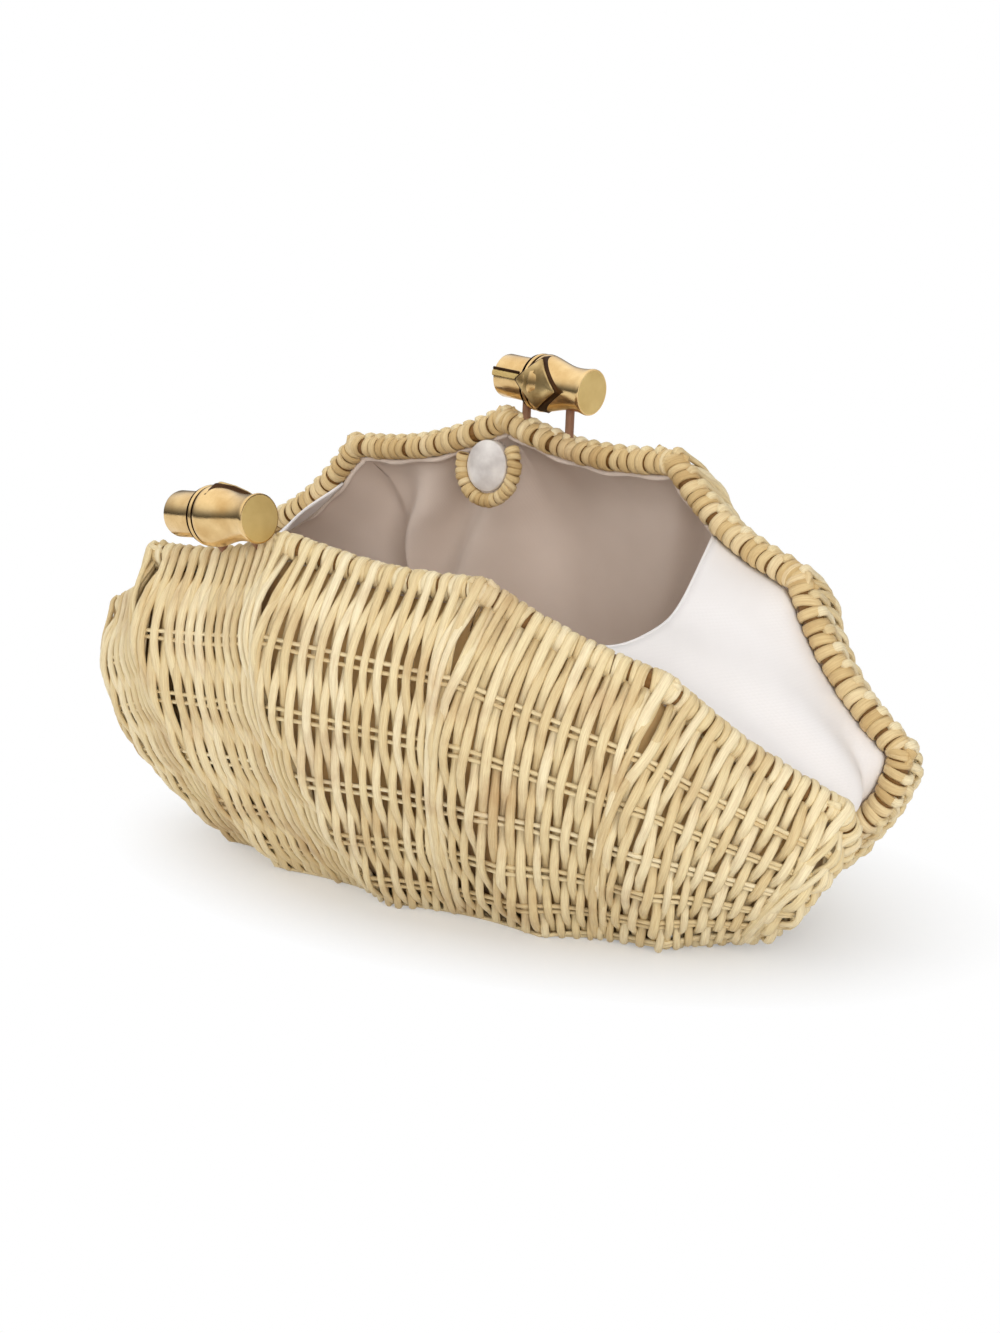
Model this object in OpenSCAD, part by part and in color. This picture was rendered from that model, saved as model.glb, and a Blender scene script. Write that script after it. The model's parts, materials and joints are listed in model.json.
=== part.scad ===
// Rattan clutch: two woven, scalloped half shells hinged along a cane rod at the bottom.
// It stands open, as far as its gussets let it. X runs along the hinge, the front half is at -Y.
// Each half is drawn in its own frame: x along the hinge, t up from the hinge, d outward.

/* [Shell] */
// Half the width of the shell, at its outermost rim corner
half_w = 138.5; // [120:0.1:160]
// Height of the rim's middle corner above the hinge
shell_h = 110.8; // [95:0.1:130]
// How far each belly swells out past its rim
belly_d = 42; // [34:0.5:50]
// How far each belly hangs below a straight line from rim to hinge
belly_sag = 62; // [52:0.5:66]
// How far the panels between the ribs sink in
scoop = 4; // [1:0.5:7]
// Height of the hinge axis above the table
hinge_h = 26.8; // [25:0.1:29]
// Thickness of the woven wall between its ridges
wall = 2.6; // [2:0.1:3.5]
// How far a strand stands out of the wall
ridge = 1.4; // [0.6:0.1:1.6]
// How far a strand bows out over a stake and in behind it
weave = 1.1; // [0.4:0.1:1.2]
// How far the ribs stand out at the rim corners
rib = 1.4; // [0.5:0.1:2]
// Strands between two rim corners
strands_per_lobe = 6; // [4:1:6]

/* [Opening] */
// How far the front half leans forward
front_angle = 38.5; // [36:0.5:40]
// How far the back half leans backward
back_angle = 6.9; // [5:0.1:9]

/* [Rim] */
// Radius of the rim over its cane wraps
rim_r = 4.25; // [3.5:0.05:4.3]
// How deep the grooves between the wraps are
wrap_groove = 0.7; // [0.2:0.1:1.2]
// How far the rim dips between two corners
rim_dip = 3.8; // [2:0.1:6]
// Distance of a rim's middle from the plane where the halves meet
rim_offset = 4.4; // [4.4:0.1:5]

/* [Hinge] */
// Radius of the hinge rod
rod_r = 2; // [1.6:0.1:2.2]
// Half the length of the hinge rod
rod_half = 100; // [95:1:103]
// Radius of the bottom rail of each half
rail_r = 2.5; // [2:0.1:2.6]
// Thickness of the cane of the hinge loops
cane_t = 1.4; // [1:0.1:1.5]
// Width of the cane of the hinge loops
cane_w = 3; // [2:0.1:4]
// Clearance of a loop that turns on the hinge rod
turn_gap = 0.05; // [0.03:0.01:0.08]

/* [Lining] */
// Thickness of the cotton lining
lining_t = 0.8; // [0.5:0.1:1.2]
// How far the free edge of a gusset draws in and hangs down
gusset_sag = 10; // [6:0.5:14]

/* [Clasp] */
// Length of a toggle
toggle_l = 33; // [31:0.5:34.5]
// Radius of a toggle at its node
toggle_r = 8.2; // [7:0.1:8.6]
// Radius of a toggle's plain end
toggle_end_r = 6.2; // [5:0.1:6.8]
// Height of a toggle's axis above the middle of the rim
toggle_rise = 16; // [15.9:0.1:17]
// Where the front toggle sits along the rim
front_toggle_x = -21.5; // [-25:0.5:-20]
// Where the back toggle sits along the rim
back_toggle_x = 16; // [15:0.5:18]
// How far the front toggle rises along the hinge
front_toggle_angle = 1.5; // [1:0.5:4]
// How far the back toggle falls along the hinge
back_toggle_angle = 8; // [5:0.5:9]
// Radius of the posts that hold a toggle
post_r = 1.3; // [1.1:0.05:1.8]
// Distance between the two posts of a toggle
post_pitch = 16.5; // [14:0.5:20]
// Radius of a magnet
magnet_r = 7.8; // [7:0.1:7.9]
// Thickness of a magnet with its dome
magnet_t = 5; // [3:0.1:5.5]
// Outer radius of the cane ring round a magnet
ring_r = 12.7; // [12.6:0.1:13.5]
// Radius of the cane of that ring
ring_cane_r = 2.3; // [2:0.1:2.3]
// Where the magnets hang along the rim
magnet_x = -5; // [-6:0.5:-4]

/* [Hidden] */
$fn = 48;

// Signs of the two halves along Y
FRONT = -1;
BACK = 1;
// Gap between pieces that rest against each other
seat = 0.3;

// Rim corners from the middle outward, as shares of the half width and of the shell's height
corner_x_shares = [0, 0.450, 0.755, 1];
corner_t_shares = [1, 0.910, 0.651, 0.274];
// Where the rim's curl ends: just past the hinge rod, and so high that the open rims clear each other there
curl_gap = 1.8;
curl_x = rod_half + rim_r + curl_gap;
curl_clear = 0.5;
half_angle = (front_angle + back_angle) / 2;
curl_t = (rim_r + curl_clear - rim_offset * cos(half_angle)) / sin(half_angle);
lobes = len(corner_x_shares) - 1;
// Place of the last woven column within the curl, and of the rim's end
weave_end_share = 0.5;
rim_u = lobes + 1;
// Where the swelling of the belly dies out, counted in lobes, and how full its outline is
swell_u_share = 3.6;
swell_fullness_share = 1.54;
profile_fullness_share = 0.7;
// Half the shell's bottom edge as a share of half the hinge rod, and its growth within the curl
base_x_share = 1.02;
base_curl_share = 0.05;

// Rail beside the hinge rod, with room for a cane loop between them
rail_gap = 0.6;
rail_d = rod_r + turn_gap + cane_t + rail_gap + rail_r;
loop_xs_shares = [0.16, 0.72];
loop_step_share = 0.24;

// Rows of the weave, with a stake on every odd row line
rows = 9;
cols_per_strand = 2;
lobe_cols = strands_per_lobe * cols_per_strand;
curl_cols = 5;
half_cols = lobes * lobe_cols + curl_cols;
wrap_sides = 6;
wraps_per_lobe = 6.5;
// Small step for slopes of the surface
slope_share = 0.004;

// Helpers
function mix(a, b, f) = a + (b - a) * f;
function clamp(v, lo, hi) = min(hi, max(lo, v));
function unit(v) = v / norm(v);
function flat(lists) = [for (l = lists) for (e = l) e];
function lean_angle(side) = side == FRONT ? front_angle : back_angle;

// Point of the rim's middle line at u, counted in lobes from the middle
function lobe_point(u) =
    let (i = clamp(floor(u), 0, lobes - 1), f = u - i)
    let (a = [half_w * corner_x_shares[i], shell_h * corner_t_shares[i]])
    let (b = [half_w * corner_x_shares[i + 1], shell_h * corner_t_shares[i + 1]])
    let (along = unit(b - a))
    mix(a, b, f) + [along[1], -along[0]] * rim_dip * sin(180 * f);
function curl_point(f) =
    let (end = [curl_x, curl_t])
    let (start = [half_w, shell_h * corner_t_shares[lobes]])
    [mix(end[0], start[0], cos(90 * f)), mix(start[1], end[1], sin(90 * f))];
function rim_side(u) = u <= lobes ? lobe_point(u) : curl_point(u - lobes);
function rim_point(u) = let (p = rim_side(abs(u))) [u < 0 ? -p[0] : p[0], p[1]];

// How much of the full belly there is at u
function swell(u) =
    pow(1 - pow(abs(u) / swell_u_share, swell_fullness_share), 1 / swell_fullness_share);
function lobe_share(u) = abs(u) >= lobes ? 0 : abs(u) - floor(abs(u));
function depth(u) = (belly_d - scoop * sin(180 * lobe_share(u))) * swell(u);
function base_x(u) =
    let (a = abs(u), inner = rod_half * base_x_share)
    let (curl = inner + rod_half * base_curl_share * (a - lobes))
    let (x = a <= lobes ? inner * rim_side(a)[0] / half_w : curl)
    u < 0 ? -x : x;

// Middle of the wall at u and at a share s of the way from rim to hinge
function profile(s) = pow(max(0, sin(180 * s)), profile_fullness_share);
function shell_point(u, s) =
    let (r = rim_point(u), g = (1 - cos(180 * s)) / 2, h = profile(s))
    [
        mix(r[0], base_x(u), g),
        r[1] * (1 - g) - belly_sag * swell(u) * h * s,
        mix(rim_offset, rail_d, g) + depth(u) * h
    ];
// Shares at which the wall leaves the rim and meets the rail, each clear of it by a gap
function rim_share(u, gap) = asin(pow((rim_r + gap) / depth(u), 1 / profile_fullness_share)) / 180;
function rail_share(u, gap) =
    let (reach = norm([belly_sag, belly_d]) * swell(u))
    1 - asin(pow((rail_r + gap) / reach, 1 / profile_fullness_share)) / 180;
function row_share(u, f, gap) = mix(rim_share(u, gap), rail_share(u, gap), f);
function shell_normal(u, s) =
    let (du = shell_point(u + slope_share, s) - shell_point(u - slope_share, s))
    let (ds = shell_point(u, s + slope_share) - shell_point(u, s - slope_share))
    unit(cross(ds, du));

// From a half's own frame to the open clutch, and the same held above the table
function place(p, side) =
    let (a = lean_angle(side))
    [p[0], side * (p[1] * sin(a) + p[2] * cos(a)), hinge_h + p[1] * cos(a) - p[2] * sin(a)];
function rest(p, low) = [p[0], p[1], max(p[2], low)];
function wall_point(u, f, out, gap, low, side) =
    let (s = row_share(u, f, gap))
    rest(place(shell_point(u, s) + shell_normal(u, s) * out, side), low);

// Middle of the clutch from front to back, so that it stands centred on the origin
function belly_point(j, side) = wall_point(0, j / rows, wall / 2 + relief(half_cols, j), seat, 0, side);
function reach(side) = max([for (j = [0 : rows]) side * belly_point(j, side)[1]]);
centre_y = (reach(BACK) - reach(FRONT)) / 2;
module stand() { translate([0, -centre_y, 0]) children(); }

// A closed sheet between an outer and an inner grid, without the cells that open() takes out
function kept(open, i, j, nu, nv) = i >= 0 && j >= 0 && i < nu && j < nv && !open(i, j);
function quad(a, b, c, d) = [[a, b, c], [a, c, d]];
function sheet_faces(nu, nv, open) =
    let (n = (nu + 1) * (nv + 1))
    flat([for (i = [0 : nu - 1]) for (j = [0 : nv - 1]) if (kept(open, i, j, nu, nv))
        let (a = i * (nv + 1) + j, b = a + nv + 1, c = b + 1, d = a + 1)
        concat(
            quad(a, b, c, d),
            quad(n + a, n + d, n + c, n + b),
            kept(open, i - 1, j, nu, nv) ? [] : quad(a, d, n + d, n + a),
            kept(open, i + 1, j, nu, nv) ? [] : quad(b, n + b, n + c, c),
            kept(open, i, j - 1, nu, nv) ? [] : quad(a, n + a, n + b, b),
            kept(open, i, j + 1, nu, nv) ? [] : quad(d, c, n + c, n + d)
        )]);
function turned(faces, side) =
    side == BACK ? faces : [for (f = faces) [for (k = [len(f) - 1 : -1 : 0]) f[k]]];

// Woven shell
function col_u(i) =
    let (k = i - half_cols, a = abs(k), inner = lobes * lobe_cols)
    let (u = a <= inner ? a / lobe_cols : lobes + (a - inner) / curl_cols * weave_end_share)
    k < 0 ? -u : u;
function is_crest(i) = i % cols_per_strand == half_cols % cols_per_strand;
function strand(i) = floor((i + 1) / cols_per_strand);
function rib_share(u) = abs(u) > lobes ? 0 : pow(abs(cos(180 * u)), 16);
function relief(i, j) =
    let (bow = j % 2 == 1 ? ((strand(i) + floor(j / 2)) % 2 == 0 ? weave : -weave) : 0)
    (is_crest(i) ? ridge + bow : 0) + rib * rib_share(col_u(i));
// Slits beside the stakes, in every lobe but not at its ribs
function is_slit(i, j) =
    let (k = i - half_cols, a = k < 0 ? -1 - k : k, q = a % lobe_cols)
    a < lobes * lobe_cols && q % cols_per_strand == 1 && q < lobe_cols - 2
    && j > 0 && j < rows - 2 && (floor(q / cols_per_strand) + j) % 2 == 0;
// Notches in the bottom row, where the hinge loops pass
function loop_xs(side) =
    let (shift = side == FRONT ? 0 : loop_step_share)
    [for (s = loop_xs_shares) for (m = [-1, 1]) m * rod_half * (s + shift)];
function col_x(i) = base_x(col_u(i));
function is_notch(i, j, side) =
    j == rows - 1
    && len([for (x = loop_xs(side)) if (col_x(i + 1) > x - cane_w && col_x(i) < x + cane_w) x]) > 0;
module woven_shell(side) {
    cols = 2 * half_cols;
    outer = [for (i = [0 : cols]) for (j = [0 : rows])
        wall_point(col_u(i), j / rows, wall / 2 + relief(i, j), seat, 0, side)];
    inner = [for (i = [0 : cols]) for (j = [0 : rows])
        wall_point(col_u(i), j / rows, -wall / 2, seat, wall, side)];
    open = function (i, j) is_slit(i, j) || is_notch(i, j, side);
    stand() polyhedron(concat(outer, inner), turned(sheet_faces(cols, rows, open), side), 10);
}
module front_shell() { color([0.90, 0.81, 0.62]) woven_shell(FRONT); }
module back_shell() { color([0.90, 0.81, 0.62]) woven_shell(BACK); }

// Cotton lining, close inside the woven shell
lining_cols_per_lobe = 4;
lining_half_cols = lobes * lining_cols_per_lobe + 1;
lining_cols = 2 * lining_half_cols;
lining_rows = 6;
lining_gap = 1;
lining_edge = 1.2;
module lining(side) {
    layer = function (out, low)
        [for (i = [0 : lining_cols]) for (j = [0 : lining_rows])
            let (u = (i - lining_half_cols) / lining_cols_per_lobe)
            wall_point(u, j / lining_rows, -out, lining_edge, low, side)];
    outside = wall / 2 + lining_gap;
    above = wall + lining_gap;
    points = concat(layer(outside, above), layer(outside + lining_t, above + lining_t));
    none = function (i, j) false;
    stand() polyhedron(points, turned(sheet_faces(lining_cols, lining_rows, none), side), 10);
}
module front_lining() { color([0.90, 0.88, 0.86]) lining(FRONT); }
module back_lining() { color([0.86, 0.82, 0.79]) lining(BACK); }

// Gussets: cotton between the two rims at each end, which stop the opening
gusset_cols = 8;
gusset_rows = 6;
gusset_front_u_shares = [1.35, 3.25];
gusset_back_u_shares = [1.45, 3.25];
// The free edge hangs most this side of the middle, toward the front rim
gusset_skew_share = 0.8;
gusset_inset = 4 * seat + lining_t / 2;
function rim_slope(u) = unit(rim_point(u + slope_share) - rim_point(u - slope_share));
function gusset_edge(u, side) =
    let (p = rim_point(u), s = rim_slope(u), inset = rim_r + gusset_inset)
    place([p[0] + s[1] * inset, p[1] - s[0] * inset, rim_offset], side);
function gusset_point(f, v) =
    let (a = gusset_edge(mix(gusset_front_u_shares[0], gusset_front_u_shares[1], f), FRONT))
    let (b = gusset_edge(mix(gusset_back_u_shares[0], gusset_back_u_shares[1], f), BACK))
    let (hang = gusset_sag * sin(180 * pow(clamp(v, 0, 1), gusset_skew_share)) * (1 - f))
    mix(a, b, v) + [hang, 0, -hang];
function gusset_normal(f, v) =
    let (df = gusset_point(f + slope_share, v) - gusset_point(f - slope_share, v))
    let (dv = gusset_point(f, v + slope_share) - gusset_point(f, v - slope_share))
    unit(cross(df, dv));
module gusset() {
    layer = function (out)
        [for (i = [0 : gusset_cols]) for (j = [0 : gusset_rows])
            let (f = i / gusset_cols, v = j / gusset_rows)
            gusset_point(f, v) + gusset_normal(f, v) * out];
    none = function (i, j) false;
    points = concat(layer(lining_t / 2), layer(-lining_t / 2));
    stand() polyhedron(points, turned(sheet_faces(gusset_cols, gusset_rows, none), FRONT), 10);
}
module right_gusset() { color([0.94, 0.93, 0.92]) gusset(); }
module left_gusset() { color([0.94, 0.93, 0.92]) mirror([1, 0, 0]) gusset(); }

// Rim: a cane core wrapped all along, drilled for the two posts of its toggle
module rim_wrap(side) {
    rings = round(2 * wraps_per_lobe * 2 * rim_u);
    points = [for (i = [0 : rings])
        let (u = mix(-rim_u, rim_u, i / rings) * (1 - slope_share), p = rim_point(u), s = rim_slope(u))
        let (r = i % 2 == 0 ? rim_r - wrap_groove : rim_r)
        for (k = [0 : wrap_sides - 1])
            let (c = r * cos(360 * k / wrap_sides), o = r * sin(360 * k / wrap_sides))
            place([p[0] - s[1] * c, p[1] + s[0] * c, rim_offset + o], side)];
    skin = flat([for (i = [0 : rings - 1]) for (k = [0 : wrap_sides - 1])
        let (a = i * wrap_sides + k, b = i * wrap_sides + (k + 1) % wrap_sides)
        quad(a, b, b + wrap_sides, a + wrap_sides)]);
    first = [[for (k = [wrap_sides - 1 : -1 : 0]) k]];
    last = [[for (k = [0 : wrap_sides - 1]) rings * wrap_sides + k]];
    polyhedron(points, turned(concat(skin, first, last), -side), 10);
}
module rim(side) {
    stand() difference() {
        rim_wrap(side);
        posts(side, post_r + turn_gap, toggle_rise, post_sink + turn_gap);
    }
}
module front_rim() { color([0.88, 0.77, 0.54]) rim(FRONT); }
module back_rim() { color([0.80, 0.66, 0.42]) rim(BACK); }

// Hinge: a rod, a rail along the bottom of each half, and cane loops that tie each rail to the rod
module in_half(side) {
    translate([0, 0, hinge_h]) rotate([-side * lean_angle(side), 0, 0]) children();
}
module bar(r) { rotate([0, 90, 0]) cylinder(r = r, h = 2 * rod_half, center = true); }
module hinge_rod() { color([0.78, 0.64, 0.42]) stand() translate([0, 0, hinge_h]) bar(rod_r); }
module rail(side) { stand() in_half(side) translate([0, side * rail_d, 0]) bar(rail_r); }
module front_rail() { color([0.84, 0.72, 0.50]) rail(FRONT); }
module back_rail() { color([0.84, 0.72, 0.50]) rail(BACK); }
// A loop's outline round rod and rail: a round at each end, joined by straight runs
module loop_outline(grow) {
    near = rod_r + turn_gap + grow;
    far = rail_r + turn_gap + grow;
    circle(r = near);
    translate([rail_d, 0]) circle(r = far);
    polygon([[0, -near], [rail_d, -far], [rail_d, far], [0, near]]);
}
module hinge_loops(side) {
    stand() in_half(side)
        for (x = loop_xs(side))
            translate([x, 0, 0]) rotate([90, 0, side * 90])
                linear_extrude(cane_w, center = true) difference() {
                    loop_outline(cane_t);
                    loop_outline(0);
                }
}
module front_hinge_loops() { color([0.82, 0.68, 0.44]) hinge_loops(FRONT); }
module back_hinge_loops() { color([0.82, 0.68, 0.44]) hinge_loops(BACK); }

// Clasp pieces stand over the rim: x along the hinge, y outward from the closing plane, z up
function toggle_x(side) = side == FRONT ? front_toggle_x : back_toggle_x;
function toggle_angle(side) = side == FRONT ? -front_toggle_angle : back_toggle_angle;
function u_at(x) = x / (half_w * corner_x_shares[1]);
function rim_t(x) = rim_point(u_at(x))[1];
module over_rim(x, t, side) {
    in_half(side) translate([x, side * rim_offset, t]) children();
}
// Both posts end at the same height, and each starts as deep in the rim below it
module posts(side, r, up, down) {
    top = rim_t(toggle_x(side)) + up;
    for (m = [-1, 1]) {
        x = toggle_x(side) + m * post_pitch / 2;
        foot = rim_t(x) - down;
        over_rim(x, foot, side) cylinder(r = r, h = top - foot);
    }
}

// Toggle: a cast bamboo stem with a plain end, a ringed node and a flared end with a flat cap
toggle_x_shares = [0, 0.02, 0.36, 0.38, 0.40, 0.42, 0.44, 0.58, 0.78, 0.92, 0.985, 1];
toggle_r_shares = [0.68, 0.756, 0.756, 0.79, 0.79, 0.83, 1, 0.96, 0.74, 0.76, 0.80, 0.76];
toggle_end_share = 0.756;
toggle_end_max_share = 0.785;
// The lozenge on the inner side, as shares of the toggle's length and radius
lozenge_l_share = 0.54;
lozenge_h_share = 1.55;
lozenge_top_share = 0.82;
lozenge_face_share = 0.98;
// How high the posts reach into the toggle, and how deep into the rim
post_top_share = 0.35;
post_sink_share = 0.5;
post_top = toggle_rise - toggle_r * post_top_share;
post_sink = rim_r * post_sink_share;
module toggle_stem() {
    grow = toggle_end_r / (toggle_r * toggle_end_share);
    outline = [for (i = [0 : len(toggle_x_shares) - 1])
        let (share = toggle_r_shares[i], r = toggle_r * share * (share < toggle_end_max_share ? grow : 1))
        [r, toggle_l * toggle_x_shares[i]]];
    translate([-toggle_l / 2, 0, 0]) rotate([0, 90, 0]) rotate_extrude()
        polygon(concat([[0, 0]], outline, [[0, toggle_l]]));
}
module lozenge(side) {
    long = toggle_l * lozenge_l_share / 2;
    high = toggle_r * lozenge_h_share / 2;
    rotate([side * 90, 0, 0])
        linear_extrude(toggle_r * lozenge_face_share, scale = lozenge_top_share)
            polygon([[-long, 0], [0, -high], [long, 0], [0, high]]);
}
module toggle(side) {
    x = toggle_x(side);
    stand() difference() {
        over_rim(x, rim_t(x) + toggle_rise, side) rotate([0, toggle_angle(side), 0]) {
            toggle_stem();
            lozenge(side);
        }
        posts(side, post_r + turn_gap, post_top, 0);
    }
}
module front_toggle() { color([0.72, 0.56, 0.26]) toggle(FRONT); }
module back_toggle() { color([0.72, 0.56, 0.26]) toggle(BACK); }

// Posts of a toggle, sunk in it and in the rim's core
module toggle_posts(side) {
    stand() posts(side, post_r, post_top - turn_gap, post_sink);
}
module front_toggle_posts() { color([0.55, 0.42, 0.22]) toggle_posts(FRONT); }
module back_toggle_posts() { color([0.55, 0.42, 0.22]) toggle_posts(BACK); }

// Magnet: a pearly domed disc close under the rim, in a cane ring whose ends stop against the rim
magnet_gap = 0.25;
magnet_dome = 1.6;
ring_clear = 0.4;
magnet_drop = rim_r + seat + magnet_r;
module on_ring(side) {
    in_half(side) translate([magnet_x, 0, rim_t(magnet_x) - magnet_drop])
        rotate([-side * 90, 0, 0]) children();
}
module magnet(side) {
    dome_r = (magnet_r * magnet_r + magnet_dome * magnet_dome) / (2 * magnet_dome);
    stand() on_ring(side) translate([0, 0, magnet_gap]) intersection() {
        cylinder(r = magnet_r, h = magnet_t);
        translate([0, 0, dome_r]) sphere(r = dome_r, $fn = 96);
    }
}
module front_magnet() { color([0.93, 0.92, 0.90]) magnet(FRONT); }
module back_magnet() { color([0.93, 0.92, 0.90]) magnet(BACK); }
module magnet_ring(side) {
    left_t = rim_t(magnet_x - ring_r);
    right_t = rim_t(magnet_x + ring_r);
    fall = rim_t(magnet_x) - (left_t + right_t) / 2;
    tilt_angle = atan2(right_t - left_t, 2 * ring_r);
    open_angle = acos((magnet_r - fall) / ring_r);
    stand() on_ring(side) translate([0, 0, ring_cane_r + ring_clear])
        rotate([0, 0, open_angle - side * (90 + tilt_angle)])
            rotate_extrude(angle = 360 - 2 * open_angle)
                translate([ring_r - ring_cane_r, 0]) circle(r = ring_cane_r);
}
module front_magnet_ring() { color([0.80, 0.66, 0.42]) magnet_ring(FRONT); }
module back_magnet_ring() { color([0.80, 0.66, 0.42]) magnet_ring(BACK); }

front_shell();
front_rim();
front_rail();
front_lining();
front_toggle();
front_toggle_posts();
front_magnet();
front_magnet_ring();
hinge_rod();
front_hinge_loops();
back_shell();
back_rim();
back_rail();
back_lining();
back_toggle();
back_toggle_posts();
back_magnet();
back_magnet_ring();
back_hinge_loops();
left_gusset();
right_gusset();
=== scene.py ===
import json
import math

import bpy
import numpy as np
from mathutils import Matrix, Vector

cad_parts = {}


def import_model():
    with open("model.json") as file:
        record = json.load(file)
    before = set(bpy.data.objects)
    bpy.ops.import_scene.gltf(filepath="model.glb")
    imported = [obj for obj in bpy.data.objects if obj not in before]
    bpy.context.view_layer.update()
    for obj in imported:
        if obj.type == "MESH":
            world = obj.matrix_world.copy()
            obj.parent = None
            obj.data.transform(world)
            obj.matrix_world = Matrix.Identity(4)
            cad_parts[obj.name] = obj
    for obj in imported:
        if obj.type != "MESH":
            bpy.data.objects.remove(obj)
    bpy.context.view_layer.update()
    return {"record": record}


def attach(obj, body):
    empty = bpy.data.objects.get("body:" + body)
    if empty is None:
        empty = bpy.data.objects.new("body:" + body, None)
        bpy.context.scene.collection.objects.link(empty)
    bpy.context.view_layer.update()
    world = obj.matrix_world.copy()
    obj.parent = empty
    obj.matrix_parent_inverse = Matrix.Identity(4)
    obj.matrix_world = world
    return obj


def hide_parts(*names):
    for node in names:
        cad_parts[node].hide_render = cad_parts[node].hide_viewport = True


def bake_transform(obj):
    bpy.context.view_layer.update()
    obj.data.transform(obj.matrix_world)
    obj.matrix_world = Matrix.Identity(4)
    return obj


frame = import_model()
rng = np.random.default_rng(11)

MM = 0.001
FRONT, BACK = -1, 1
NAME = {FRONT: "front", BACK: "back"}
BODY = {FRONT: "front_half", BACK: "back_half"}

# Sizes of the CAD model, each half in its own frame: x along the hinge, t up from it, d outward
HINGE = np.array(frame["record"]["behaviour"]["joints"][0]["pos_m"]) / MM
LEAN = {FRONT: math.radians(38.5), BACK: math.radians(6.9)}
HALF_W, SHELL_H = 138.5, 110.8
BELLY_D, BELLY_SAG, SCOOP = 42.0, 62.0, 4.0
RIM_R, RIM_DIP, RIM_OFFSET = 4.25, 3.8, 4.4
ROD_HALF, RAIL_R, RAIL_D = 100.0, 2.5, 6.55
LOBES = 3
CORNER_X = HALF_W * np.array([0, 0.450, 0.755, 1])
CORNER_T = SHELL_H * np.array([1, 0.910, 0.651, 0.274])
CURL_END = (106.05, 1.79)
SWELL_U, SWELL_FULL, FULL = 3.6, 1.54, 0.7
BASE_SHARE, BASE_CURL = 1.02, 0.05
WEAVE_END = 3.48
STEP = 0.004
TOGGLE_L, TOGGLE_R, TOGGLE_RISE = 33.0, 8.5, 16.0
TOGGLE_X = {FRONT: -21.5, BACK: 16.0}
TOGGLE_ANGLE = {FRONT: math.radians(1.5), BACK: math.radians(-8)}
MAGNET_R, MAGNET_T, MAGNET_DOME, MAGNET_GAP, MAGNET_X = 7.8, 5.0, 1.6, 0.25, -5.0
RING_R, RING_CANE_R, RING_CLEAR, SEAT = 12.7, 2.3, 0.4, 0.3

# Sizes of the scene alone: the rim as it is drawn, and the UVs' scale and their shift from cane to cane
RIM_SEEN_R, RIM_DROP = 3.65, 0.25
UV_SCALE, UV_SHIFT = 10, 1.37


# Helpers
def mix(a, b, f):
    return a + (b - a) * f


def unit(v):
    return v / np.linalg.norm(v, axis=-1, keepdims=True)


def smooth(f):
    f = np.clip(f, 0, 1)
    return f * f * (3 - 2 * f)


def softened(rows, times=60):
    """Rows evened out between the first and the last."""
    rows = rows.copy()
    for _ in range(times):
        rows[1:-1] = (rows[:-2] + 2 * rows[1:-1] + rows[2:]) / 4
    return rows


def turn(v, side):
    """A direction of a half's own frame, in the row frame."""
    a = LEAN[side]
    x, t, d = v[..., 0], v[..., 1], v[..., 2]
    y = side * (t * math.sin(a) + d * math.cos(a))
    return np.stack([x, y, t * math.cos(a) - d * math.sin(a)], axis=-1)


def place(p, side):
    """A point of a half's own frame, in the row frame."""
    return turn(p, side) + HINGE


def above_floor(points, low):
    """Points of the row frame, with none lower than so much above the floor."""
    points[..., 2] = np.maximum(points[..., 2], low)
    return points


# The rim's middle line and the wall, the same as in the CAD model
def rim_point(u):
    u = np.asarray(u, float)
    a = np.abs(u)
    i = np.clip(np.floor(a), 0, LOBES - 1).astype(int)
    f = a - i
    dx = CORNER_X[i + 1] - CORNER_X[i]
    dt = CORNER_T[i + 1] - CORNER_T[i]
    dip = RIM_DIP * np.sin(np.pi * f) / np.hypot(dx, dt)
    x = CORNER_X[i] + dx * f + dt * dip
    t = CORNER_T[i] + dt * f - dx * dip
    c = np.clip(a - LOBES, 0, 1) * np.pi / 2
    x = np.where(a > LOBES, mix(CURL_END[0], HALF_W, np.cos(c)), x)
    t = np.where(a > LOBES, mix(CORNER_T[LOBES], CURL_END[1], np.sin(c)), t)
    return np.where(u < 0, -x, x), t


def rim_frame(u):
    """Middle of the rim at u, and its directions along the rim, up out of the mouth, and outward."""
    u = np.asarray(u, float)
    x, t = rim_point(u)
    x0, t0 = rim_point(u - STEP)
    x1, t1 = rim_point(u + STEP)
    run = np.hypot(x1 - x0, t1 - t0)
    sx, st = (x1 - x0) / run, (t1 - t0) / run
    zero = np.zeros_like(x)
    middle = np.stack([x, t, zero + RIM_OFFSET], axis=-1)
    along = np.stack([sx, st, zero], axis=-1)
    up = np.stack([-st, sx, zero], axis=-1)
    out = np.stack([zero, zero, zero + 1], axis=-1)
    return middle, along, up, out


def swell(u):
    share = np.minimum(1, np.abs(u) / SWELL_U) ** SWELL_FULL
    return np.maximum(1e-6, 1 - share) ** (1 / SWELL_FULL)


def depth(u):
    a = np.abs(u)
    share = np.where(a >= LOBES, 0, a - np.floor(a))
    return (BELLY_D - SCOOP * np.sin(np.pi * share)) * swell(u)


def base_x(u):
    a = np.abs(u)
    inner = ROD_HALF * BASE_SHARE
    lobe = inner * np.abs(rim_point(u)[0]) / HALF_W
    return np.sign(u) * np.where(a <= LOBES, lobe, inner + ROD_HALF * BASE_CURL * (a - LOBES))


def shell_point(u, s):
    u, s = np.broadcast_arrays(np.asarray(u, float), np.asarray(s, float))
    x, t = rim_point(u)
    g = (1 - np.cos(np.pi * s)) / 2
    h = np.maximum(0, np.sin(np.pi * s)) ** FULL
    return np.stack([
        mix(x, base_x(u), g),
        t * (1 - g) - BELLY_SAG * swell(u) * h * s,
        mix(RIM_OFFSET, RAIL_D, g) + depth(u) * h,
    ], axis=-1)


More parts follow.
